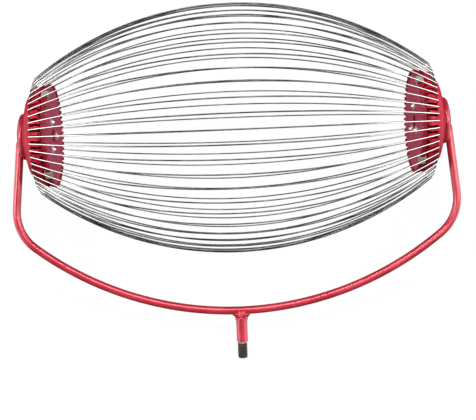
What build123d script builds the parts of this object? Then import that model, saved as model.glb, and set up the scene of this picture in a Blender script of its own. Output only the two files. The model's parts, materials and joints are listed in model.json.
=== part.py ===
from build123d import *
import os
from math import asin, atan, cos, degrees, hypot, radians, sin, sqrt

# Head of a rolling nut gatherer: a barrel of bowed spring wires held between two hubs,
# free to roll in a bent-rod yoke whose threaded stud screws into a pole.
# The head lies as it does when put down: the barrel and the tip of the stud touch the floor, z = 0.
# The row frame's origin is the centre of the footprint. +X runs along the roller's spin axis.
# Everything is in millimetres.

# ---- spring wires -------------------------------------------------------------------------
WIRE_COUNT = 56
WIRE_R = 0.65
CAGE_R = 123.15  # spin axis to a wire's centre line, half way along the barrel
WIRE_BOW_R = 320.0
HOOK_Z = 193.6  # from mid-barrel to the straight leg bent in at each end of a wire
HOOK_BEND_R = 3.0
HOOK_END_R = 40.5
WIRE_START = 2.5  # degrees from the yoke's upright to the first wire

# ---- outer flange, a domed moulding with a crown of teeth that keeps the wires apart -------
CROWN_IN_Z = 186.5
CROWN_R = 50.5
CROWN_MID_R = 46.6
CROWN_MID_Z = 195.0
CROWN_BORE_R = 43.5
SHOULDER_R = 38.5
SHOULDER_Z = 201.8
STEP_R = 48.2  # the teeth step down before they meet the disc
STEP_Z = 184.5
SLOT_WIDTH = 2.4
SLOT_END_Z = 194.6
FLANGE_OUT_Z = 206.5
FLANGE_FLAT_R = 24.0
POCKET_R = 36.0
POCKET_Z = 199.8
HUB_BOSS_R = 10.0
HUB_BOSS_Z = 190.5

# ---- inner disc, screwed to the flange, with posts that trap the wires' hooks --------------
DISC_R = 51.0
DISC_IN_Z = 180.0
DISC_OUT_Z = 183.0
DISC_HOLE_R = 6.5
COG_IN_R = 48.4
COG_OUT_R = 50.9
COG_WIDTH = 2.6
COG_Z = 178.4
POST_IN_R = 39.6
POST_OUT_R = 42.6
POST_WIDTH = 2.2
POST_END_Z = 192.8

# ---- spring clips pinched over the disc's rim ------------------------------------------------
CLIP_ANGLES = (40.0, 140.0)  # degrees from the yoke's upright
CLIP_STRAP_R = 51.2
CLIP_LIP_R = 47.0
CLIP_STEEL = 0.9
CLIP_WIDTH = 8.5
CLIP_IN_Z = 177.2

# ---- hub screws -----------------------------------------------------------------------------
SCREW_COUNT = 3
SCREW_PITCH_R = 15.5
SCREW_START = 5.5
SCREW_R = 1.9
SCREW_END_Z = 194.0
SCREW_HEAD_R = 4.3
SCREW_HEAD_WALL = 1.0
SCREW_HEAD_HEIGHT = 4.8
SCREW_HEAD_BULGE = 1.05
SCREW_BOSS_R = 4.2
SCREW_CLEARANCE = 0.3
RECESS_LENGTH = 3.8
RECESS_WIDTH = 1.0
RECESS_DEPTH = 1.5

# ---- axle, bush, washers and axle clip -----------------------------------------------------------
AXLE_R = 4.0
AXLE_IN_Z = 186.0
AXLE_OUT_Z = 212.5
GROOVE_R = 3.1
GROOVE_Z = 187.6
GROOVE_WIDTH = 1.0
RUNNING_CLEARANCE = 0.05
BUSH_R = 6.0
BUSH_IN_Z = 190.0
BUSH_FLANGE_R = 8.0
BUSH_FLANGE_WIDTH = 1.0
AXLE_CLIP_R = 6.2
AXLE_CLIP_WIDTH = 0.8
AXLE_CLIP_MOUTH = 4.6
STOP_WASHER_R = 7.5
STOP_WASHER_WIDTH = 1.2
THRUST_WASHER_R = 9.0
THRUST_WASHER_WIDTH = 1.0
GAP = 0.1  # between faces that only touch

# ---- end cup, the domed cap welded to each end of the yoke ----------------------------------
CUP_R = 23.0
CUP_WALL = 2.0
CUP_RIM_Z = FLANGE_OUT_Z + 0.7
CUP_APEX_Z = 215.2
CUP_DOME_R = 60.0
CUP_EDGE_R = 3.0
CUP_BOSS_R = 8.0

# ---- yoke, in its own plane: x along the spin axis, y from the stud up to the axis -----------
ROD_R = 4.0
ARM_TOP_X = 213.5
ARM_TOP_Y = -4.2
CORNER_X = 222.5
CORNER_Y = -95.4
CORNER_BEND_R = 45.0
ROD_END_ROUND = 2.8
BOW_Y = -182.2
SHANK_R = 5.6
SHANK_END_R = 5.45
SHANK_TOP_Y = BOW_Y - 1.0
SHANK_END_Y = -213.2
STUD_R = 5.0
STUD_END_Y = -230.0
STUD_CHAMFER = 1.0
SPIGOT_R = 3.95
SPIGOT_TOP_Y = -196.0
WELD_R = 8.8
WELD_TOP_Y = BOW_Y - 1.3
WELD_WIDE_Y = BOW_Y - 3.8
WELD_END_Y = BOW_Y - 9.8

# ---- how the head lies on the floor -----------------------------------------------------------
FLOOR_DROP = CAGE_R + WIRE_R  # spin axis to floor
STUD_REACH = -STUD_END_Y - STUD_CHAMFER
DROOP = degrees(asin(FLOOR_DROP / hypot(STUD_REACH, STUD_R)) - atan(STUD_R / STUD_REACH))
UP = (0, cos(radians(DROOP)), sin(radians(DROOP)))
FRONT = (0, -UP[2], UP[1])
STUD_TIP_Y = STUD_END_Y * UP[1] - (STUD_R - STUD_CHAMFER) * UP[2]
SPIN_CENTRE = (0, -(FLOOR_DROP + STUD_TIP_Y) / 2, FLOOR_DROP)
ROLLER = Plane(origin=SPIN_CENTRE, x_dir=UP, z_dir=(1, 0, 0))  # local z is the spin axis
YOKE = Plane(origin=SPIN_CENTRE, x_dir=(1, 0, 0), z_dir=FRONT)

WIRE_PITCH = 360 / WIRE_COUNT
LEFT_TURN = 4 * WIRE_PITCH  # the left hub is put on this far round from the right one
HOOK_R = CAGE_R - WIRE_BOW_R + sqrt(WIRE_BOW_R**2 - HOOK_Z**2)


def write(part, name, frame):
    """Moves a finished piece from its local frame to its place and writes its STEP file."""
    placed = part.moved(frame.location)
    placed.label = name
    export_step(placed, f"parts/{name}.step")


def write_pair(part, name, turn=0.0):
    """Writes a hub piece for the right end, and its mirror image, turned, for the left end."""
    write(part, f"right_{name}", ROLLER)
    write(mirror(part.rotate(Axis.Z, turn), about=Plane.XY), f"left_{name}", ROLLER)


def ring(inner_r, outer_r, low_z, high_z):
    """Turns a plain ring about the spin axis."""
    with BuildPart() as piece:
        with BuildSketch(Plane.XY.offset(low_z)):
            Circle(outer_r)
            Circle(inner_r, mode=Mode.SUBTRACT)
        extrude(amount=high_z - low_z)
    return piece.part


def make_wire():
    """One spring wire: a long bow with a short leg bent in at each end."""
    with BuildPart() as wire:
        with BuildLine(Plane.XZ) as path:
            Line((HOOK_END_R, -HOOK_Z), (HOOK_R, -HOOK_Z))
            ThreePointArc((HOOK_R, -HOOK_Z), (CAGE_R, 0), (HOOK_R, HOOK_Z))
            Line((HOOK_R, HOOK_Z), (HOOK_END_R, HOOK_Z))
            fillet(path.vertices().sort_by(Axis.X)[2:], radius=HOOK_BEND_R)
        with BuildSketch(Plane(origin=(HOOK_END_R, 0, -HOOK_Z), z_dir=(1, 0, 0))):
            Circle(WIRE_R)
        sweep()
    return wire.part


def make_cage_wires():
    """All the spring wires, evenly spaced round the spin axis."""
    wire = make_wire()
    with BuildPart() as wires:
        with PolarLocations(0, WIRE_COUNT, start_angle=WIRE_START):
            add(wire)
    return wires.part


def make_outer_flange():
    """The domed outer moulding, with its bush boss, screw bosses and slotted crown."""
    bore_r = BUSH_R + GAP / 2
    with BuildPart() as flange:
        with BuildSketch(Plane.XZ):
            with BuildLine():
                Polyline(
                    (SHOULDER_R, SHOULDER_Z),
                    (FLANGE_FLAT_R, FLANGE_OUT_Z),
                    (bore_r, FLANGE_OUT_Z),
                    (bore_r, HUB_BOSS_Z),
                    (HUB_BOSS_R, HUB_BOSS_Z),
                    (HUB_BOSS_R, POCKET_Z),
                    (POCKET_R, POCKET_Z),
                    (POCKET_R, SLOT_END_Z),
                    (CROWN_BORE_R, SLOT_END_Z),
                    (CROWN_BORE_R, STEP_Z),
                    (STEP_R, STEP_Z),
                    (STEP_R, CROWN_IN_Z),
                    (CROWN_R, CROWN_IN_Z),
                )
                ThreePointArc(
                    (CROWN_R, CROWN_IN_Z), (CROWN_MID_R, CROWN_MID_Z), (SHOULDER_R, SHOULDER_Z)
                )
            make_face()
        revolve(axis=Axis.Z)
        with BuildSketch(Plane.XY.offset(DISC_OUT_Z + GAP)):
            with PolarLocations(SCREW_PITCH_R, SCREW_COUNT, start_angle=SCREW_START):
                Circle(SCREW_BOSS_R)
        extrude(amount=POCKET_Z - DISC_OUT_Z)
        with BuildSketch(Plane.XY.offset(DISC_OUT_Z)):
            Circle(bore_r)
            with PolarLocations(SCREW_PITCH_R, SCREW_COUNT, start_angle=SCREW_START):
                Circle(SCREW_R + GAP / 2)
        extrude(amount=SCREW_END_Z + 1 - DISC_OUT_Z, mode=Mode.SUBTRACT)
        with BuildSketch(Plane.XY.offset(STEP_Z)):
            with PolarLocations(CROWN_R, WIRE_COUNT, start_angle=WIRE_START):
                Rectangle(2 * (CROWN_R - CROWN_BORE_R) + GAP, SLOT_WIDTH)
        extrude(amount=SLOT_END_Z - STEP_Z, mode=Mode.SUBTRACT)
    return flange.part


def make_inner_disc():
    """The disc that faces the barrel, with small cogs round its rim and posts behind it."""
    with BuildPart() as disc:
        with BuildSketch(Plane.XY.offset(DISC_IN_Z)):
            Circle(DISC_R)
            Circle(DISC_HOLE_R, mode=Mode.SUBTRACT)
            with PolarLocations(SCREW_PITCH_R, SCREW_COUNT, start_angle=SCREW_START):
                Circle(SCREW_R + SCREW_CLEARANCE, mode=Mode.SUBTRACT)
        extrude(amount=DISC_OUT_Z - DISC_IN_Z)
        with BuildSketch(Plane.XY.offset(DISC_OUT_Z)):
            with PolarLocations((POST_IN_R + POST_OUT_R) / 2, WIRE_COUNT, start_angle=WIRE_START):
                Rectangle(POST_OUT_R - POST_IN_R, POST_WIDTH)
        extrude(amount=POST_END_Z - DISC_OUT_Z)
        with BuildSketch(Plane.XY.offset(COG_Z)):
            cog_mid_r = (COG_IN_R + COG_OUT_R) / 2
            with PolarLocations(cog_mid_r, WIRE_COUNT, start_angle=WIRE_START + WIRE_PITCH / 2):
                Rectangle(COG_OUT_R - COG_IN_R, COG_WIDTH)
        extrude(amount=DISC_IN_Z - COG_Z)
    return disc.part


def make_rim_clips():
    """The spring clips over the disc's rim, each a strap bent into a C."""
    outer_r = CLIP_STRAP_R + CLIP_STEEL
    lip_z = DISC_IN_Z - GAP
    leg_z = DISC_OUT_Z + GAP
    with BuildPart() as clip:
        with BuildSketch(Plane.XZ.offset(-CLIP_WIDTH / 2)):
            with BuildLine():
                Polyline(
                    (CLIP_LIP_R, lip_z),
                    (CLIP_LIP_R, CLIP_IN_Z),
                    (outer_r, CLIP_IN_Z),
                    (outer_r, leg_z + CLIP_STEEL),
                    (CLIP_LIP_R, leg_z + CLIP_STEEL),
                    (CLIP_LIP_R, leg_z),
                    (CLIP_STRAP_R, leg_z),
                    (CLIP_STRAP_R, CLIP_IN_Z + CLIP_STEEL),
                    (CLIP_LIP_R + CLIP_STEEL, CLIP_IN_Z + CLIP_STEEL),
                    (CLIP_LIP_R + CLIP_STEEL, lip_z),
                    close=True,
                )
            make_face()
        extrude(amount=CLIP_WIDTH)
    with BuildPart() as clips:
        for angle in CLIP_ANGLES:
            with PolarLocations(0, 1, start_angle=angle):
                add(clip.part)
    return clips.part


def make_hub_screws():
    """The round-headed screws that hold the inner disc, each with a cross recess."""
    head_z = DISC_IN_Z - SCREW_HEAD_HEIGHT
    wall_z = DISC_IN_Z - SCREW_HEAD_WALL
    with BuildPart() as screw:
        with BuildSketch(Plane.XZ):
            with BuildLine():
                Line((0, SCREW_END_Z), (SCREW_R, SCREW_END_Z))
                Line((SCREW_R, SCREW_END_Z), (SCREW_R, DISC_IN_Z))
                Line((SCREW_R, DISC_IN_Z), (SCREW_HEAD_R, DISC_IN_Z))
                Line((SCREW_HEAD_R, DISC_IN_Z), (SCREW_HEAD_R, wall_z))
                SagittaArc((SCREW_HEAD_R, wall_z), (0, head_z), -SCREW_HEAD_BULGE)
                Line((0, head_z), (0, SCREW_END_Z))
            make_face()
        revolve(axis=Axis.Z)
        with BuildSketch(Plane.XY.offset(head_z)):
            Rectangle(RECESS_LENGTH, RECESS_WIDTH)
            Rectangle(RECESS_WIDTH, RECESS_LENGTH)
        extrude(amount=RECESS_DEPTH, mode=Mode.SUBTRACT)
    with BuildPart() as screws:
        with PolarLocations(SCREW_PITCH_R, SCREW_COUNT, start_angle=SCREW_START):
            add(screw.part)
    return screws.part


def make_bearing_bush():
    """The flanged plain bush pressed into the outer flange."""
    bore_r = AXLE_R + RUNNING_CLEARANCE
    with BuildPart() as bush:
        with BuildSketch(Plane.XZ):
            with BuildLine():
                Polyline(
                    (bore_r, BUSH_IN_Z),
                    (BUSH_R, BUSH_IN_Z),
                    (BUSH_R, FLANGE_OUT_Z),
                    (BUSH_FLANGE_R, FLANGE_OUT_Z),
                    (BUSH_FLANGE_R, FLANGE_OUT_Z + BUSH_FLANGE_WIDTH),
                    (bore_r, FLANGE_OUT_Z + BUSH_FLANGE_WIDTH),
                    close=True,
                )
            make_face()
        revolve(axis=Axis.Z)
    return bush.part


def make_axle():
    """The stub axle, with a groove for the clip."""
    with BuildPart() as axle:
        with BuildSketch(Plane.XY.offset(AXLE_IN_Z)):
            Circle(AXLE_R)
        extrude(amount=AXLE_OUT_Z - AXLE_IN_Z)
        chamfer(axle.edges().group_by(Axis.Z)[0], length=0.5)
        with BuildSketch(Plane.XY.offset(GROOVE_Z)):
            Circle(AXLE_R + 1)
            Circle(GROOVE_R, mode=Mode.SUBTRACT)
        extrude(amount=GROOVE_WIDTH, mode=Mode.SUBTRACT)
    return axle.part


def make_axle_clip():
    """The open spring clip in the axle's groove."""
    low_z = GROOVE_Z + (GROOVE_WIDTH - AXLE_CLIP_WIDTH) / 2
    with BuildPart() as clip:
        with BuildSketch(Plane.XY.offset(low_z)):
            Circle(AXLE_CLIP_R)
            Circle(GROOVE_R + RUNNING_CLEARANCE, mode=Mode.SUBTRACT)
            with Locations((AXLE_CLIP_R, 0)):
                Rectangle(2 * AXLE_CLIP_R, AXLE_CLIP_MOUTH, mode=Mode.SUBTRACT)
        extrude(amount=AXLE_CLIP_WIDTH)
    return clip.part


def make_end_cup():
    """The domed cap over the bush, with a boss that the axle is fixed in and a slot for the rod."""
    edge_z = CUP_APEX_Z - CUP_DOME_R + sqrt(CUP_DOME_R**2 - CUP_R**2)
    in_r = CUP_R - CUP_WALL
    in_dome_r = CUP_DOME_R - CUP_WALL
    in_edge_z = CUP_APEX_Z - CUP_DOME_R + sqrt(in_dome_r**2 - in_r**2)
    boss_root_z = CUP_APEX_Z - CUP_DOME_R + sqrt(in_dome_r**2 - CUP_BOSS_R**2)
    boss_z = FLANGE_OUT_Z + BUSH_FLANGE_WIDTH + THRUST_WASHER_WIDTH + 2 * GAP
    with BuildPart() as cup:
        with BuildSketch(Plane.XZ) as profile:
            with BuildLine():
                Line((in_r, CUP_RIM_Z), (CUP_R, CUP_RIM_Z))
                Line((CUP_R, CUP_RIM_Z), (CUP_R, edge_z))
                RadiusArc((CUP_R, edge_z), (0, CUP_APEX_Z), -CUP_DOME_R)
                Polyline(
                    (0, CUP_APEX_Z),
                    (0, AXLE_OUT_Z),
                    (AXLE_R, AXLE_OUT_Z),
                    (AXLE_R, boss_z),
                    (CUP_BOSS_R, boss_z),
                    (CUP_BOSS_R, boss_root_z),
                )
                RadiusArc((CUP_BOSS_R, boss_root_z), (in_r, in_edge_z), in_dome_r)
                Line((in_r, in_edge_z), (in_r, CUP_RIM_Z))
            make_face()
            outer_edge = profile.vertices().sort_by_distance((CUP_R, edge_z, 0))[0]
            fillet(outer_edge, radius=CUP_EDGE_R)
        revolve(axis=Axis.Z)
        add(rod_in_roller_frame(), mode=Mode.SUBTRACT)
    return cup.part


def make_rod():
    """The yoke's rod: two straight arms and a shallow bow, with a bend at each corner."""
    with BuildPart() as rod:
        with BuildLine() as path:
            Line((-ARM_TOP_X, ARM_TOP_Y), (-CORNER_X, CORNER_Y))
            ThreePointArc((-CORNER_X, CORNER_Y), (0, BOW_Y), (CORNER_X, CORNER_Y))
            Line((CORNER_X, CORNER_Y), (ARM_TOP_X, ARM_TOP_Y))
            fillet(path.vertices().group_by(Axis.Y)[0], radius=CORNER_BEND_R)
        lean = (ARM_TOP_X - CORNER_X, CORNER_Y - ARM_TOP_Y, 0)
        with BuildSketch(Plane(origin=(-ARM_TOP_X, ARM_TOP_Y, 0), z_dir=lean)):
            Circle(ROD_R)
        sweep()
        fillet(rod.edges().filter_by(GeomType.CIRCLE).group_by(Axis.Y)[-1], radius=ROD_END_ROUND)
    return rod.part


def rod_in_roller_frame():
    """The rod as the end cup sees it, for cutting the slot that it is welded into."""
    return make_rod().moved(YOKE.location).moved(ROLLER.location.inverse())


def make_shank():
    """The slightly tapered sleeve below the bow, fitted round the rod and bored for the stud."""
    bore_r = SPIGOT_R + RUNNING_CLEARANCE
    with BuildPart() as shank:
        with BuildSketch():
            with BuildLine():
                Polyline(
                    (0, SHANK_TOP_Y),
                    (SHANK_R, SHANK_TOP_Y),
                    (SHANK_END_R, SHANK_END_Y),
                    (bore_r, SHANK_END_Y),
                    (bore_r, SPIGOT_TOP_Y + GAP),
                    (0, SPIGOT_TOP_Y + GAP),
                    close=True,
                )
            make_face()
        revolve(axis=Axis.Y)
        add(make_rod(), mode=Mode.SUBTRACT)
    return shank.part


def make_weld():
    """The fillet of weld between the bow and the shank."""
    with BuildPart() as weld:
        with BuildSketch():
            with BuildLine():
                Line((0, WELD_TOP_Y), (WELD_R - 1.2, WELD_TOP_Y))
                Line((WELD_R - 1.2, WELD_TOP_Y), (WELD_R, WELD_WIDE_Y))
                SagittaArc((WELD_R, WELD_WIDE_Y), (SHANK_R, WELD_END_Y), 0.8)
                Polyline((SHANK_R, WELD_END_Y), (0, WELD_END_Y), (0, WELD_TOP_Y))
            make_face()
        revolve(axis=Axis.Y)
        with BuildSketch(Plane.XZ.offset(-WELD_TOP_Y)):
            Circle(SHANK_R)
        extrude(amount=WELD_TOP_Y - WELD_END_Y, mode=Mode.SUBTRACT)
        add(make_rod(), mode=Mode.SUBTRACT)
    return weld.part


def make_stud():
    """The threaded stud, drawn as its outer cylinder, with the spigot that fits in the shank."""
    with BuildPart() as stud:
        with BuildSketch(Plane.XZ.offset(-SHANK_END_Y)):
            Circle(STUD_R)
        extrude(amount=SHANK_END_Y - STUD_END_Y)
        chamfer(stud.edges().group_by(Axis.Y)[0], length=STUD_CHAMFER)
        with BuildSketch(Plane.XZ.offset(-SPIGOT_TOP_Y)):
            Circle(SPIGOT_R)
        extrude(amount=SPIGOT_TOP_Y - SHANK_END_Y)
    return stud.part


def main():
    os.makedirs("parts", exist_ok=True)
    bush_out_z = FLANGE_OUT_Z + BUSH_FLANGE_WIDTH
    thrust_z = bush_out_z + GAP
    stop_z = BUSH_IN_Z - GAP
    washer_r = AXLE_R + RUNNING_CLEARANCE
    write(make_rod(), "yoke_rod", YOKE)
    write(make_shank(), "yoke_shank", YOKE)
    write(make_weld(), "yoke_weld", YOKE)
    write(make_stud(), "pole_stud", YOKE)
    write(make_cage_wires(), "cage_wires", ROLLER)
    write_pair(make_end_cup(), "end_cup")
    write_pair(make_axle(), "axle_pin")
    write_pair(make_axle_clip(), "axle_clip")
    write_pair(ring(washer_r, STOP_WASHER_R, stop_z - STOP_WASHER_WIDTH, stop_z), "stop_washer")
    write_pair(
        ring(washer_r, THRUST_WASHER_R, thrust_z, thrust_z + THRUST_WASHER_WIDTH),
        "thrust_washer",
    )
    write_pair(make_bearing_bush(), "bearing_bush")
    write_pair(make_outer_flange(), "outer_flange", LEFT_TURN)
    write_pair(make_inner_disc(), "inner_disc", LEFT_TURN)
    write_pair(make_hub_screws(), "hub_screws", LEFT_TURN)
    write_pair(make_rim_clips(), "rim_clips")
    print(f"droop {DROOP:.4f} deg, spin centre {SPIN_CENTRE}")


main()
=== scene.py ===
import json
import random
from math import acos, asin, atan2, cos, degrees, pi, radians, sin, sqrt, tan, tau
import bmesh
import bpy
from mathutils import Matrix, Vector, noise


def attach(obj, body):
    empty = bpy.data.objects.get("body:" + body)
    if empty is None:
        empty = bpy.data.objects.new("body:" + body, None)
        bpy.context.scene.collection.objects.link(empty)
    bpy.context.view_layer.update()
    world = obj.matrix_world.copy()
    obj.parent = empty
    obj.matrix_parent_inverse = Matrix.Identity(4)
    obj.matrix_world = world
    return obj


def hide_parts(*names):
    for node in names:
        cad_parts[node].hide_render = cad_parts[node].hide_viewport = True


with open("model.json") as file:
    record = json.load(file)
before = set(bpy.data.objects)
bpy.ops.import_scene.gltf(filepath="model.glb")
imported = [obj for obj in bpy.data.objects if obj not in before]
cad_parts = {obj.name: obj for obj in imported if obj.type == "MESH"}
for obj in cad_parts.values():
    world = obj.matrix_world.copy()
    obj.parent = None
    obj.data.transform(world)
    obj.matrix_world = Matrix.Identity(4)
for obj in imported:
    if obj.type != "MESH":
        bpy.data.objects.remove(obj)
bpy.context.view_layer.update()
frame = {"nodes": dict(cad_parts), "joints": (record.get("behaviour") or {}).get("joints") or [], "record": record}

# The head of a rolling nut gatherer: a barrel of spring wires between two red hubs, rolling in a
# red bent-rod yoke. Local sizes below are in millimetres, and each matrix turns them to metres.
MM = 0.001
NODES = frame["nodes"]
SPIN = Vector(frame["joints"][0]["pos_m"])
AXIS = Vector((1, 0, 0))
UP = -Vector(frame["record"]["mounts"][0]["axis"]).normalized()  # from the stud to the spin axis
FRONT = AXIS.cross(UP)
SIDES = {"left": -1, "right": 1}
random.seed(7)


# ---- places, measured on the frame -------------------------------------------------------------
def columns(x_axis, y_axis, z_axis):
    """The matrix from a local frame in millimetres at the spin centre to the row frame in metres."""
    turn = Matrix((x_axis, y_axis, z_axis)).transposed().to_4x4()
    return Matrix.Translation(SPIN) @ turn @ Matrix.Scale(MM, 4)


YOKE = columns(AXIS, UP, FRONT)  # x along the spin axis, y up from the stud, z to the front
ROLLER = {name: columns(UP, FRONT, AXIS * sign) for name, sign in SIDES.items()}  # z out along the axis


def span(node, direction):
    """How far a CAD node reaches along a direction, low and high, in mm from the spin centre."""
    reach = [(v.co - SPIN).dot(direction) / MM for v in NODES[node].data.vertices]
    return min(reach), max(reach)


CUP_RIM_Z, CUP_APEX_Z = span("right_end_cup", AXIS)
CUP_R = span("right_end_cup", UP)[1]
AXLE_R = span("right_axle_pin", UP)[1]
AXLE_OUT_Z = span("right_axle_pin", AXIS)[1]
THRUST_OUT_Z = span("right_thrust_washer", AXIS)[1]
ROD_LOW_Y, ROD_TOP_Y = span("yoke_rod", UP)
SHANK_R = span("yoke_shank", AXIS)[1]
SHANK_END_Y = span("yoke_shank", UP)[0]
STUD_R = span("pole_stud", AXIS)[1]
STUD_END_Y = span("pole_stud", UP)[0]
CAGE_OUT_R = span("cage_wires", UP)[1]


# ---- mesh tools --------------------------------------------------------------------------------
def keep(name, bm, matrix, body, material, nodes=(), sharp=35):
    """Turns a mesh in a local frame into a named piece that rides on a body."""
    bm.transform(matrix)
    bmesh.ops.recalc_face_normals(bm, faces=bm.faces)
    mesh = bpy.data.meshes.new(name)
    bm.to_mesh(mesh)
    bm.free()
    mesh.polygons.foreach_set("use_smooth", [True] * len(mesh.polygons))
    mesh.set_sharp_from_angle(angle=radians(sharp))
    mesh.materials.append(material)
    piece = bpy.data.objects.new(name, mesh)
    bpy.context.scene.collection.objects.link(piece)
    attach(piece, body)
    if nodes:
        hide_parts(*nodes)
    return piece


def bridge(bm, rings, closed=False):
    """Joins equal rings of vertices with quads. A ring of one vertex is a pole."""
    pairs = list(zip(rings, rings[1:]))
    if closed:
        pairs.append((rings[-1], rings[0]))
    for low, high in pairs:
        count = max(len(low), len(high))
        for i in range(count):
            j = (i + 1) % count
            if len(low) == 1:
                bm.faces.new((low[0], high[j], high[i]))
            elif len(high) == 1:
                bm.faces.new((low[i], low[j], high[0]))
            else:
                bm.faces.new((low[i], low[j], high[j], high[i]))


def tube(bm, path, radii, sides=12, normal=Vector((0, 0, 1))):
    """A round tube along a path, closed with a pole at each end."""
    rings = [[bm.verts.new(path[0])]]
    side = normal
    for i, (point, r) in enumerate(zip(path, radii)):
        ahead = path[min(i + 1, len(path) - 1)] - path[max(i - 1, 0)]
        ahead.normalize()
        side = (side - ahead * side.dot(ahead)).normalized()
        other = ahead.cross(side)
        turns = [tau * k / sides for k in range(sides)]
        rings.append([bm.verts.new(point + (side * cos(t) + other * sin(t)) * r) for t in turns])
    rings.append([bm.verts.new(path[-1])])
    bridge(bm, rings)


def lathe(bm, profile, steps=96, closed=True, ripple=None):
    """Turns a profile of (radius, height) points about local z."""
    rings = []
    for r, z in profile:
        if r < 1e-6:
            rings.append([bm.verts.new((0, 0, z))])
            continue
        ring = []
        for k in range(steps):
            t = tau * k / steps
            swell = ripple(t, r, z) if ripple else 0
            ring.append(bm.verts.new(((r + swell) * cos(t), (r + swell) * sin(t), z)))
        rings.append(ring)
    bridge(bm, rings, closed)


def arc(centre, r, start, end, steps):
    """Points on an arc, with angles in degrees."""
    angles = [radians(start + (end - start) * i / steps) for i in range(steps + 1)]
    return [(centre[0] + r * cos(a), centre[1] + r * sin(a)) for a in angles]


def bevel_node(node, width, material, segments=2):
    """Keeps a CAD node, with its hard edges broken and a finished material."""
    piece = NODES[node]
    weld = piece.modifiers.new("weld", "WELD")
    weld.merge_threshold = 2e-6
    bevel = piece.modifiers.new("bevel", "BEVEL")
    bevel.width = width * MM
    bevel.segments = segments
    bevel.limit_method = "ANGLE"
    bevel.angle_limit = radians(40)
    bevel.harden_normals = True
    bevel.use_clamp_overlap = True
    piece.data.materials.clear()
    piece.data.materials.append(material)


# ---- materials ---------------------------------------------------------------------------------
class Nodes:
    """A node tree, built up from small calls."""

    def __init__(self, tree):
        self.tree = tree

    def add(self, kind, **inputs):
        """A new node of a kind, with its inputs set by name."""
        node = self.tree.nodes.new(kind)
        for key, value in inputs.items():
            self.feed(node.inputs[key.replace("_", " ")], value)
        return node

    def feed(self, socket, value):
        """Links a socket to an input, or sets the input to a plain value."""
        if isinstance(value, bpy.types.NodeSocket):
            self.tree.links.new(value, socket)
        else:
            socket.default_value = value

    def ramp(self, value, low, high, out_low=0.0, out_high=1.0):
        """A smooth step from out_low to out_high while the value goes from low to high."""
        node = self.add("ShaderNodeMapRange", Value=value)
        node.interpolation_type = "SMOOTHSTEP"
        for socket, number in zip(node.inputs[1:5], (low, high, out_low, out_high)):
            self.feed(socket, number)
        return node.outputs["Result"]

    def math(self, operation, a, b=0.0):
        """One sum on two numbers."""
        node = self.tree.nodes.new("ShaderNodeMath")
        node.operation = operation
        self.feed(node.inputs[0], a)
        self.feed(node.inputs[1], b)
        return node.outputs["Value"]

    def dot(self, a, b):
        """The dot product of two vectors."""
        node = self.tree.nodes.new("ShaderNodeVectorMath")
        node.operation = "DOT_PRODUCT"
        self.feed(node.inputs[0], a)
        self.feed(node.inputs[1], b)
        return node.outputs["Value"]


class Recipe(Nodes):
    """A node material round one Principled shader."""

    def __init__(self, name):
        self.material = bpy.data.materials.new(name)
        self.material.use_nodes = True
        super().__init__(self.material.node_tree)
        self.shader = self.tree.nodes["Principled BSDF"]
        self.place = self.add("ShaderNodeTexCoord").outputs["Object"]
        self.normal = None

    def set(self, **inputs):
        """Sets inputs of the Principled shader."""
        for key, value in inputs.items():
            self.feed(self.shader.inputs[key.replace("_", " ")], value)

    def stretch(self, scale):
        """The object's coordinates, scaled along each axis."""
        node = self.add("ShaderNodeMapping", Vector=self.place, Scale=scale)
        return node.outputs["Vector"]

    def noise(self, scale, detail=3.0, rough=0.55, vector=None):
        """Cloudy noise, with scale in repeats per metre."""
        node = self.add("ShaderNodeTexNoise", Vector=vector or self.place, Scale=scale)
        self.feed(node.inputs["Detail"], detail)
        self.feed(node.inputs["Roughness"], rough)
        return node.outputs["Fac"]

    def mix(self, factor, a, b):
        """A colour between a and b."""
        node = self.tree.nodes.new("ShaderNodeMix")
        node.data_type = "RGBA"
        self.feed(node.inputs["Factor"], factor)
        self.feed(node.inputs[6], a)
        self.feed(node.inputs[7], b)
        return node.outputs[2]

    def bump(self, height, distance, strength=1.0):
        """Adds relief to the surface, up to a distance in millimetres deep."""
        node = self.add("ShaderNodeBump", Height=height, Distance=distance * MM, Strength=strength)
        if self.normal:
            self.feed(node.inputs["Normal"], self.normal)
        self.normal = node.outputs["Normal"]
        self.set(Normal=self.normal)

    def crevice(self, reach):
        """1 deep in a gap, 0 in the open."""
        open_sky = self.add("ShaderNodeAmbientOcclusion", Distance=reach * MM).outputs["AO"]
        return self.ramp(open_sky, 0.15, 0.8, 1.0, 0.0)

    def edges(self, radius, sharpness=6.0):
        """1 on a worn convex edge, 0 on a flat."""
        soft = self.add("ShaderNodeBevel", Radius=radius * MM)
        sharp = self.add("ShaderNodeNewGeometry").outputs["Normal"]
        bend = self.math("SUBTRACT", 1.0, self.dot(soft.outputs["Normal"], sharp))
        return self.math("MINIMUM", self.math("MULTIPLY", bend, sharpness), 1.0)


def rgb(r, g, b):
    """A screen colour, 0 to 255, as the linear colour that shaders take."""
    def linear(c):
        c /= 255
        return c / 12.92 if c <= 0.04045 else ((c + 0.055) / 1.055) ** 2.4
    return linear(r), linear(g), linear(b), 1.0


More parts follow.
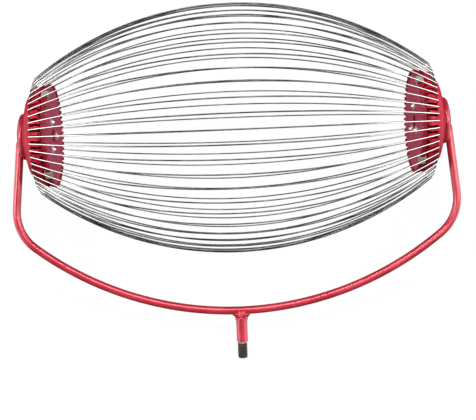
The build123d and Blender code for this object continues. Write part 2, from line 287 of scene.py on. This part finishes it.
def powder_coat():
    """Red powder coat: glossy, with orange peel, faint cloudiness and worn edges."""
    coat = Recipe("powder_coat")
    cloud = coat.noise(45, 4)
    base = coat.mix(coat.ramp(cloud, 0.35, 0.65), rgb(172, 38, 54), rgb(188, 50, 67))
    speck = coat.ramp(coat.noise(2600, 2), 0.70, 0.76)
    base = coat.mix(coat.math("MULTIPLY", speck, 0.35), base, rgb(120, 12, 30))
    worn = coat.math("MULTIPLY", coat.edges(0.5), coat.ramp(coat.noise(900, 4), 0.5, 0.62))
    base = coat.mix(coat.math("MULTIPLY", worn, 0.5), base, rgb(226, 96, 112))
    coat.set(Base_Color=base, Roughness=coat.ramp(cloud, 0.3, 0.7, 0.27, 0.37), IOR=1.5)
    coat.set(Metallic=0.3, Coat_Weight=0.5, Coat_Roughness=0.10)
    coat.bump(coat.noise(520, 2), 0.05, 0.7)
    coat.bump(coat.noise(2400, 2), 0.008, 0.6)
    return coat.material


def moulded_plastic(name, light, dark, rough, face_sheen=None):
    """Red moulded plastic with a fine spark-eroded grain, paler worn edges, painted shade in its crevices and, if
    given a face colour, duller faces square to the spin axis: a painted sheen.
    """
    plastic = Recipe(name)
    cloud = plastic.noise(70, 4)
    base = plastic.mix(plastic.ramp(cloud, 0.35, 0.65), dark, light)
    # Painted sheen: faces square to the spin axis take the face colour, mottled, in place of the base colour.
    if face_sheen:
        normal = plastic.add("ShaderNodeNewGeometry").outputs["True Normal"]
        flat = plastic.math("ABSOLUTE", plastic.dot(normal, AXIS))
        dim_sheen = tuple(c * 0.78 for c in face_sheen[:3]) + (1.0,)
        mottled_sheen = plastic.mix(plastic.ramp(plastic.noise(90, 5), 0.35, 0.62), dim_sheen, face_sheen)
        base = plastic.mix(plastic.ramp(flat, 0.8, 0.95), base, mottled_sheen)
    worn = plastic.math("MULTIPLY", plastic.edges(0.4), plastic.ramp(plastic.noise(1200, 3), 0.4, 0.6))
    base = plastic.mix(plastic.math("MULTIPLY", worn, 0.45), base, rgb(232, 110, 122))
    # Painted shade: the colour darkens to a deep red in crevices and recesses, where shade falls.
    painted_shade = plastic.math("MULTIPLY", plastic.crevice(7), 0.45)
    base = plastic.mix(painted_shade, base, rgb(92, 4, 12))
    grain = plastic.noise(3200, 3)
    plastic.set(Base_Color=base, Roughness=plastic.ramp(grain, 0.3, 0.7, rough - 0.05, rough + 0.08))
    plastic.set(Specular_IOR_Level=0.2)
    plastic.bump(grain, 0.012, 0.8)
    plastic.bump(plastic.noise(160, 2), 0.05, 0.3)
    return plastic.material


def drawn_wire():
    """Dull drawn spring wire: fine lines along it, patches and a few dark specks.

    Its colour is painted near-white where it mirrors the bright walls, a painted glint, but not when seen from the
    ends of the barrel.
    """
    wire = Recipe("drawn_wire")
    lines = wire.noise(1, 2, vector=wire.stretch((60, 5200, 5200)))
    patch = wire.noise(38, 4)
    dull = wire.mix(wire.ramp(patch, 0.35, 0.65), rgb(60, 63, 61), rgb(132, 135, 133))
    mirrored = wire.add("ShaderNodeTexCoord").outputs["Reflection"]
    # Painted glint: the base colour goes near-white where the mirrored direction points along the spin axis to the
    # bright walls.
    painted_glint = wire.ramp(wire.math("ABSOLUTE", wire.dot(mirrored, AXIS)), 0.70, 0.92)
    seen_from = wire.add("ShaderNodeNewGeometry").outputs["Incoming"]
    from_end = wire.math("ABSOLUTE", wire.dot(seen_from, AXIS))
    broadside = wire.ramp(from_end, 0.30, 0.60, 1.0, 0.0)
    base = wire.mix(wire.math("MULTIPLY", painted_glint, broadside), dull, rgb(250, 248, 244))
    speck = wire.ramp(wire.noise(1500, 3), 0.66, 0.74)
    base = wire.mix(wire.math("MULTIPLY", speck, 0.6), base, rgb(70, 74, 70))
    wire.set(Base_Color=base, Metallic=1.0)
    wire.set(Roughness=wire.ramp(lines, 0.25, 0.75, 0.24, 0.42))
    wire.bump(lines, 0.006, 0.5)
    return wire.material


def plated_steel(name, tone, rough, metal=1.0):
    """Zinc- or nickel-plated steel with fine scratches and cloudy plating."""
    steel = Recipe(name)
    cloud = steel.noise(320, 4)
    darker = tuple(c * 0.72 for c in tone[:3]) + (1.0,)
    steel.set(Base_Color=steel.mix(steel.ramp(cloud, 0.3, 0.7), darker, tone), Metallic=metal)
    scratches = steel.noise(1, 3, vector=steel.stretch((900, 7000, 900)))
    steel.set(Roughness=steel.ramp(scratches, 0.3, 0.7, rough - 0.06, rough + 0.1))
    steel.bump(scratches, 0.004, 0.6)
    return steel.material


def black_thread():
    """Oiled black steel: dark in the roots, bare and brighter on the crests."""
    steel = Recipe("black_thread")
    rust = steel.ramp(steel.noise(420, 4), 0.5, 0.68)
    base = steel.mix(rust, rgb(76, 71, 69), rgb(104, 82, 70))
    crest = steel.math("MULTIPLY", steel.edges(0.25, 3.0), steel.ramp(steel.noise(700, 3), 0.35, 0.6))
    base = steel.mix(crest, base, rgb(204, 200, 196))
    collar = SPIN.dot(UP) + SHANK_END_Y * MM
    bare = steel.ramp(steel.dot(steel.place, UP), collar - 2.2 * MM, collar - 1.2 * MM)
    bare = steel.math("MULTIPLY", bare, steel.ramp(steel.noise(420, 3), 0.42, 0.60, 0.15, 0.9))
    base = steel.mix(bare, base, rgb(226, 190, 188))
    steel.set(Roughness=steel.ramp(steel.noise(900), 0.3, 0.7, 0.28, 0.5))
    steel.set(Base_Color=base, Metallic=0.85)
    steel.bump(steel.noise(2200, 3), 0.015, 0.6)
    return steel.material


def greased_steel():
    """Steel dark with old grease, for the axles."""
    steel = Recipe("greased_steel")
    smear = steel.ramp(steel.noise(260, 4), 0.35, 0.65)
    steel.set(Base_Color=steel.mix(smear, rgb(30, 24, 22), rgb(92, 86, 82)), Metallic=0.7)
    steel.set(Roughness=steel.ramp(smear, 0.0, 1.0, 0.25, 0.5))
    steel.bump(smear, 0.02, 0.5)
    return steel.material


def nylon():
    """Plain black nylon for the bushes."""
    plastic = Recipe("black_nylon")
    cloud = plastic.noise(200, 3)
    plastic.set(Base_Color=plastic.mix(cloud, rgb(26, 26, 28), rgb(44, 44, 47)))
    plastic.set(Roughness=plastic.ramp(cloud, 0.3, 0.7, 0.4, 0.55))
    plastic.bump(plastic.noise(2500, 2), 0.01, 0.6)
    return plastic.material


RED_COAT = powder_coat()
FLANGE_RED = moulded_plastic("flange_plastic", rgb(190, 18, 52), rgb(164, 10, 38), 0.42)
# The disc's last colour is a painted sheen for its faces square to the spin axis.
DISC_RED = moulded_plastic("disc_plastic", rgb(140, 8, 26), rgb(110, 4, 16), 0.5, rgb(190, 73, 102))
WIRE_STEEL = drawn_wire()
ZINC = plated_steel("zinc_plate", rgb(200, 202, 204), 0.3)
DULL_ZINC = plated_steel("dull_zinc", rgb(168, 164, 154), 0.45, 0.25)
NICKEL = plated_steel("nickel_plate", rgb(250, 250, 248), 0.25, 0.8)
THREAD_STEEL = black_thread()
AXLE_STEEL = greased_steel()
NYLON = nylon()


# ---- spring wires --------------------------------------------------------------------------------
WIRE_COUNT = 56
WIRE_R = 0.65
WIRE_BOW_R = 320.0
WIRE_START = 2.5  # degrees from UP to the first wire
HOOK_Z = 193.6
HOOK_END_R = 40.5
HOOK_BEND_R = 3.0
BOW_STEPS = 64
BEND_STEPS = 5
STRAY_SIDE = 1.3  # how far a wire strays from its even place, half way along
STRAY_OUT = 0.5


def wire_outline(cage_r):
    """Half of a wire in (radius, axial) points, from mid-barrel out to the hook's tip."""
    centre = cage_r - WIRE_BOW_R
    hook_r = centre + sqrt(WIRE_BOW_R**2 - HOOK_Z**2)
    slope = asin(HOOK_Z / WIRE_BOW_R)
    turn = pi / 2 - slope
    set_back = HOOK_BEND_R * tan(turn / 2)
    last = asin((HOOK_Z - set_back * cos(slope)) / WIRE_BOW_R)
    angles = [last * i / BOW_STEPS for i in range(BOW_STEPS + 1)]
    bow = [Vector((centre + WIRE_BOW_R * cos(a), WIRE_BOW_R * sin(a))) for a in angles]
    corner = Vector((hook_r, HOOK_Z))
    leg = Vector((hook_r - set_back, HOOK_Z))
    bend = []
    for k in range(1, BEND_STEPS + 1):
        t = k / BEND_STEPS
        bend.append(bow[-1] * (1 - t) ** 2 + corner * 2 * t * (1 - t) + leg * t**2)
    return bow + bend + [Vector((HOOK_END_R + 1, HOOK_Z)), Vector((HOOK_END_R, HOOK_Z))]


def add_wire(bm, angle):
    """One wire, a little off its even place as real ones are."""
    cage_r = CAGE_OUT_R - WIRE_R + random.uniform(-STRAY_OUT, STRAY_OUT)
    side = random.uniform(-STRAY_SIDE, STRAY_SIDE)
    lean = random.uniform(-STRAY_SIDE, STRAY_SIDE) * 0.5
    half = wire_outline(cage_r)
    whole = [Vector((p.x, -p.y)) for p in reversed(half[1:])] + half
    radial = Vector((cos(angle), sin(angle), 0))
    sideways = Vector((-sin(angle), cos(angle), 0))
    path = []
    for p in whole:
        along = max(-1.0, min(1.0, p.y / HOOK_Z))
        stray = side * (1 - along**2) ** 2 + lean * along * (1 - along**2)
        path.append(radial * p.x + sideways * stray + Vector((0, 0, p.y)))
    radii = [WIRE_R] * len(path)
    radii[0] = radii[-1] = WIRE_R * 0.6
    tube(bm, path, radii, sides=10, normal=sideways)


def build_wires():
    """All the wires of the barrel, as one piece."""
    bm = bmesh.new()
    for i in range(WIRE_COUNT):
        add_wire(bm, radians(WIRE_START) + tau * i / WIRE_COUNT)
    keep("spring_wires", bm, ROLLER["right"], "cage", WIRE_STEEL, ["cage_wires"], 60)


# ---- yoke ------------------------------------------------------------------------------------------
THREAD_PITCH = 1.5
THREAD_DEPTH = 0.92
THREAD_STEPS = 48
THREAD_ROWS_PER_TURN = 12
STUD_CHAMFER = 1.2
THREAD_CREST = 0.12  # flat part of the crest, of half a pitch
THREAD_FLANK = 0.66
STUD_SUNK = 0.6  # how far the stud goes up into the shank
COLLAR_LENGTH = 1.2  # plain length below the shank
COLLAR_BLEND = 0.8  # length over which the thread runs in
COLLAR_STEP = 0.25  # how far the collar is turned down from the stud's radius
WELD_ROWS = 3
WELD_PROFILE = [  # radius, and height from the rod's underside
    (4.4, 3.4), (7.2, 1.8), (9.0, 0.5), (8.3, -0.7), (7.1, -1.9), (6.4, -3.3), (6.0, -4.8), (5.8, -6.2)
]
CUP_DOME_R = 60.0
CUP_EDGE_R = 3.0
CUP_WALL = 2.0
CUP_BOSS_R = 8.0
CUP_CHAMFER = 0.4
BOSS_GAP = 0.1
BEAD_R = 1.1
BEAD_LUMP = 0.35
BEAD_RIPPLE = 0.12
BEAD_END_R = 0.5
BEAD_TURN_R = 3.9
BEAD_SIDE = [  # height and depth of the points along the rod's side, from the spin axis
    (-20.5, 1.9), (-19.0, 2.9), (-17.0, 3.5), (-14.0, 3.9), (-11.0, 4.0)
]


def build_stud():
    """The threaded stud with a real helix, plain where it enters the shank."""
    bm = bmesh.new()
    low, high = STUD_END_Y, SHANK_END_Y + STUD_SUNK
    rows = int((high - low) / THREAD_PITCH * THREAD_ROWS_PER_TURN)
    rings = [[bm.verts.new((0, low, 0))]]
    for row in range(rows + 1):
        y = low + (high - low) * row / rows
        limit = STUD_R - max(0.0, STUD_CHAMFER - (y - low))
        cut = min(1.0, max(0.0, (SHANK_END_Y - COLLAR_LENGTH - y) / COLLAR_BLEND))
        ring = []
        for k in range(THREAD_STEPS):
            t = tau * k / THREAD_STEPS
            phase = (y / THREAD_PITCH + k / THREAD_STEPS) % 1.0
            flank = min(1.0, max(0.0, (abs(phase - 0.5) * 2 - THREAD_CREST) / THREAD_FLANK))
            r = min(limit, STUD_R - THREAD_DEPTH * flank * cut - COLLAR_STEP * (1 - cut))
            ring.append(bm.verts.new((r * cos(t), y, -r * sin(t))))
        rings.append(ring)
    rings.append([bm.verts.new((0, high, 0))])
    bridge(bm, rings)
    keep("threaded_stud", bm, YOKE, "yoke", THREAD_STEEL, ["pole_stud"], 50)


def weld_lump(t, r, z):
    """The uneven surface of a hand-laid weld. It flares along the rod, and barely in front."""
    place = Vector((cos(t) * 2.2, sin(t) * 2.2, z * 0.45))
    lumps = noise.noise(place) * 0.8 + noise.noise(place * 2.7) * 0.45
    flare = max(0.0, r - SHANK_R)
    return lumps * min(1.0, r / SHANK_R) - flare * 0.85 * (1 - abs(cos(t)) ** 1.5)


def build_weld():
    """The lumpy fillet of weld below the bow, and the sleeve it holds."""
    profile = [(0, ROD_LOW_Y + WELD_PROFILE[0][1])]
    for (r0, y0), (r1, y1) in zip(WELD_PROFILE, WELD_PROFILE[1:]):
        for k in range(WELD_ROWS):
            t = k / WELD_ROWS
            profile.append((r0 + (r1 - r0) * t, ROD_LOW_Y + y0 + (y1 - y0) * t))
    end_y = profile[-1][1]
    profile += [(SHANK_R - 1.0, end_y - 0.3), (0, end_y - 0.3)]
    bm = bmesh.new()
    lathe(bm, profile, 96, closed=False, ripple=weld_lump)
    stand = Matrix(((1, 0, 0, 0), (0, 0, 1, 0), (0, -1, 0, 0), (0, 0, 0, 1)))
    bm.transform(stand)
    keep("shank_weld_bead", bm, YOKE, "yoke", RED_COAT, ["yoke_weld"], 80)


def cup_profile():
    """The end cup's section: its dome, rounded edge, rim and wall, and the boss that holds the axle."""
    dome_z = CUP_APEX_Z - CUP_DOME_R
    edge_r = CUP_R - CUP_EDGE_R
    edge_z = dome_z + sqrt((CUP_DOME_R - CUP_EDGE_R) ** 2 - edge_r**2)
    edge_angle = degrees(atan2(edge_z - dome_z, edge_r))
    in_r = CUP_R - CUP_WALL
    in_dome_r = CUP_DOME_R - CUP_WALL
    wall_angle = degrees(acos(in_r / in_dome_r))
    boss_angle = degrees(acos(CUP_BOSS_R / in_dome_r))
    boss_z = THRUST_OUT_Z + BOSS_GAP
    outside = [(0, CUP_APEX_Z)] + arc((0, dome_z), CUP_DOME_R, 90, edge_angle, 24)[1:]
    outside += arc((edge_r, edge_z), CUP_EDGE_R, edge_angle, 0, 8)[1:]
    rim = [(CUP_R, CUP_RIM_Z + CUP_CHAMFER), (CUP_R - CUP_CHAMFER, CUP_RIM_Z)]
    rim += [(in_r + CUP_CHAMFER, CUP_RIM_Z), (in_r, CUP_RIM_Z + CUP_CHAMFER)]
    inside = arc((0, dome_z), in_dome_r, wall_angle, boss_angle, 12)
    boss = [(CUP_BOSS_R, boss_z), (AXLE_R, boss_z), (AXLE_R, AXLE_OUT_Z), (0, AXLE_OUT_Z)]
    return outside + rim + inside + boss


def build_cups():
    """The two end cups, each a domed cap with a boss inside."""
    for side in SIDES:
        bm = bmesh.new()
        lathe(bm, cup_profile(), 128, closed=False)
        keep(f"{side}_domed_cup", bm, ROLLER[side], "yoke", RED_COAT, [f"{side}_end_cup"])


def dome_x(y, z):
    """Where the end cup's dome is, along the spin axis."""
    return CUP_APEX_Z - CUP_DOME_R + sqrt(CUP_DOME_R**2 - y**2 - z**2)


def bead_line():
    """The line where the rod's end meets the dome, up one side, round the tip and down."""
    tip_y = ROD_TOP_Y - BEAD_TURN_R
    turn = [radians(180 * k / 10) for k in range(11)]
    points = BEAD_SIDE + [(tip_y + BEAD_TURN_R * sin(t), BEAD_TURN_R * cos(t)) for t in turn]
    points += [(y, -z) for y, z in reversed(BEAD_SIDE)]
    coarse = [Vector((dome_x(y, z), y, z)) for y, z in points]
    line = []
    for a, b in zip(coarse, coarse[1:]):
        line += [a.lerp(b, k / 4) for k in range(4)]
    return line + [coarse[-1]]


def build_rod_welds():
    """The bead of weld round the rod's end on each cup, rippled by the torch's steps."""
    for side, sign in SIDES.items():
        line = bead_line()
        radii = []
        for i, p in enumerate(line):
            lump = BEAD_LUMP * noise.noise(p * 0.6 * sign)
            radii.append(BEAD_R + lump + BEAD_RIPPLE * cos(2.2 * i))
        radii[0] = radii[-1] = BEAD_END_R
        path = [Vector((p.x * sign, p.y, p.z)) for p in line]
        bm = bmesh.new()
        tube(bm, path, radii, sides=10)
        keep(f"{side}_rod_weld_bead", bm, YOKE, "yoke", RED_COAT, sharp=80)


# ---- stage, light and camera ---------------------------------------------------------------------
BACK_LEVEL = 0.02
FRONT_LEVEL = 0.12
WALL_LEVEL = 2.8
CAMERA_SHADE = 0.08
AMBIENT_BACK = 0.12
AMBIENT_FRONT = 0.45
PHOTO_ROLL = 0.040
CAMERA_DISTANCE = 1.0
CAMERA_DROP = 0.042  # the camera stands this far below the spin axis, along UP
FRAME_WIDTH = 476
CAGE_RISE = 81.3  # how far the spin centre shows above the picture's centre, of its width
CAGE_LEFT = 0.8
FLOOR_R = 12000
FLOOR_GLOW = 0.985
SOFTBOX_DISTANCE = 1.6
SOFTBOXES = [  # name, direction from the spin centre, width and height in metres, power in watts
    ("left_softbox", FRONT - AXIS * 1.0 + UP * 0.15, 0.3, 0.9, 12),
    ("right_softbox", FRONT + AXIS * 1.0 + UP * 0.15, 0.3, 0.9, 12),
    ("strip_softbox", FRONT + AXIS * 0.25 + UP * 0.04, 0.12, 0.68, 5),
    ("top_softbox", UP * 0.7 + FRONT, 1.2, 0.2, 18),
]


def build_camera():
    """The camera square to the yoke, rolled a little, with the barrel above the middle."""
    data = bpy.data.cameras.new("camera")
    data.sensor_width = 36
    data.lens = 36 * CAMERA_DISTANCE / (FRAME_WIDTH * MM)
    camera = bpy.data.objects.new("camera", data)
    bpy.context.scene.collection.objects.link(camera)
    place = SPIN + FRONT * CAMERA_DISTANCE - UP * CAMERA_DROP
    target = SPIN - UP * CAGE_RISE * MM + AXIS * CAGE_LEFT * MM
    back = (place - target).normalized()
    right = (UP + AXIS * PHOTO_ROLL).cross(back).normalized()
    turn = Matrix((right, back.cross(right), back)).transposed()
    camera.matrix_world = Matrix.Translation(place) @ turn.to_4x4()
    bpy.context.scene.camera = camera


def add_softbox(name, direction, width, height, power):
    """A rectangular soft light that faces the spin centre."""
    data = bpy.data.lights.new(name, "AREA")
    data.shape = "RECTANGLE"
    data.size = width
    data.size_y = height
    data.energy = power
    light = bpy.data.objects.new(name, data)
    bpy.context.scene.collection.objects.link(light)
    light.location = SPIN + direction.normalized() * SOFTBOX_DISTANCE
    light.rotation_euler = direction.to_track_quat("Z", "Y").to_euler()


def build_world():
    """White to the camera. To the object, bright walls at both ends, pale in front, dim behind."""
    world = bpy.data.worlds.new("studio")
    bpy.context.scene.world = world
    world.use_nodes = True
    studio = Nodes(world.node_tree)
    toward = studio.add("ShaderNodeTexCoord").outputs["Generated"]
    ahead = studio.dot(toward, FRONT)
    across = studio.math("ABSOLUTE", studio.dot(toward, AXIS))
    front = studio.ramp(ahead, -0.6, 0.3, BACK_LEVEL, FRONT_LEVEL)
    walls = studio.ramp(across, 0.70, 0.90, 0.0, WALL_LEVEL)
    camera = studio.ramp(ahead, 0.80, 0.97, 0.0, CAMERA_SHADE)
    level = studio.math("SUBTRACT", studio.math("ADD", front, walls), camera)
    rays = studio.add("ShaderNodeLightPath").outputs
    ambient = studio.ramp(ahead, -0.6, 0.8, AMBIENT_BACK, AMBIENT_FRONT)
    even = studio.math("MULTIPLY", rays["Is Diffuse Ray"], studio.math("SUBTRACT", ambient, level))
    room = studio.add("ShaderNodeBackground", Strength=studio.math("ADD", level, even))
    shown = studio.add("ShaderNodeBackground", Color=(1, 1, 1, 1))
    choose = studio.add("ShaderNodeMixShader", Fac=rays["Is Camera Ray"])
    studio.feed(choose.inputs[1], room.outputs[0])
    studio.feed(choose.inputs[2], shown.outputs[0])
    studio.feed(world.node_tree.nodes["World Output"].inputs["Surface"], choose.outputs[0])


def build_floor():
    """A wide pale floor that takes only a faint shadow."""
    bm = bmesh.new()
    lathe(bm, [(0, 0), (FLOOR_R, 0)], 64, closed=False)
    bm.transform(Matrix.Scale(MM, 4))
    mesh = bpy.data.meshes.new("floor")
    bm.to_mesh(mesh)
    bm.free()
    obj = bpy.data.objects.new("floor", mesh)
    bpy.context.scene.collection.objects.link(obj)
    obj.visible_glossy = False
    obj.visible_diffuse = False
    paint = Recipe("floor")
    glow = paint.add("ShaderNodeEmission", Color=(1, 1, 1, 1), Strength=FLOOR_GLOW)
    cloud = paint.noise(3.0, 2)
    paint.set(Base_Color=paint.mix(cloud, rgb(250, 250, 250), rgb(255, 255, 255)), Roughness=0.9)
    blend = paint.add("ShaderNodeMixShader", Fac=0.05)
    paint.feed(blend.inputs[1], glow.outputs[0])
    paint.feed(blend.inputs[2], paint.shader.outputs[0])
    paint.feed(paint.tree.nodes["Material Output"].inputs["Surface"], blend.outputs[0])
    mesh.materials.append(paint.material)


def build_stage():
    """The camera, the white room and the softboxes: two at the sides, a strip and one above."""
    build_camera()
    build_world()
    build_floor()
    for name, direction, width, height, power in SOFTBOXES:
        add_softbox(name, direction, width, height, power)
    bpy.context.scene.view_settings.view_transform = "Standard"


# ---- the head ------------------------------------------------------------------------------------
def finish_nodes():
    """Breaks the edges and sets the materials of the CAD nodes that stay."""
    bevel_node("yoke_rod", 0.8, RED_COAT, 3)
    bevel_node("yoke_shank", 0.4, RED_COAT)
    for side in SIDES:
        bevel_node(f"{side}_outer_flange", 0.3, FLANGE_RED)
        bevel_node(f"{side}_inner_disc", 0.3, DISC_RED)
        bevel_node(f"{side}_rim_clips", 0.2, DULL_ZINC)
        bevel_node(f"{side}_hub_screws", 0.15, NICKEL)
        bevel_node(f"{side}_bearing_bush", 0.15, NYLON)
        bevel_node(f"{side}_axle_pin", 0.15, AXLE_STEEL)
        for part in ("axle_clip", "stop_washer", "thrust_washer"):
            bevel_node(f"{side}_{part}", 0.15, ZINC)


build_wires()
build_stud()
build_weld()
build_cups()
build_rod_welds()
finish_nodes()
build_stage()
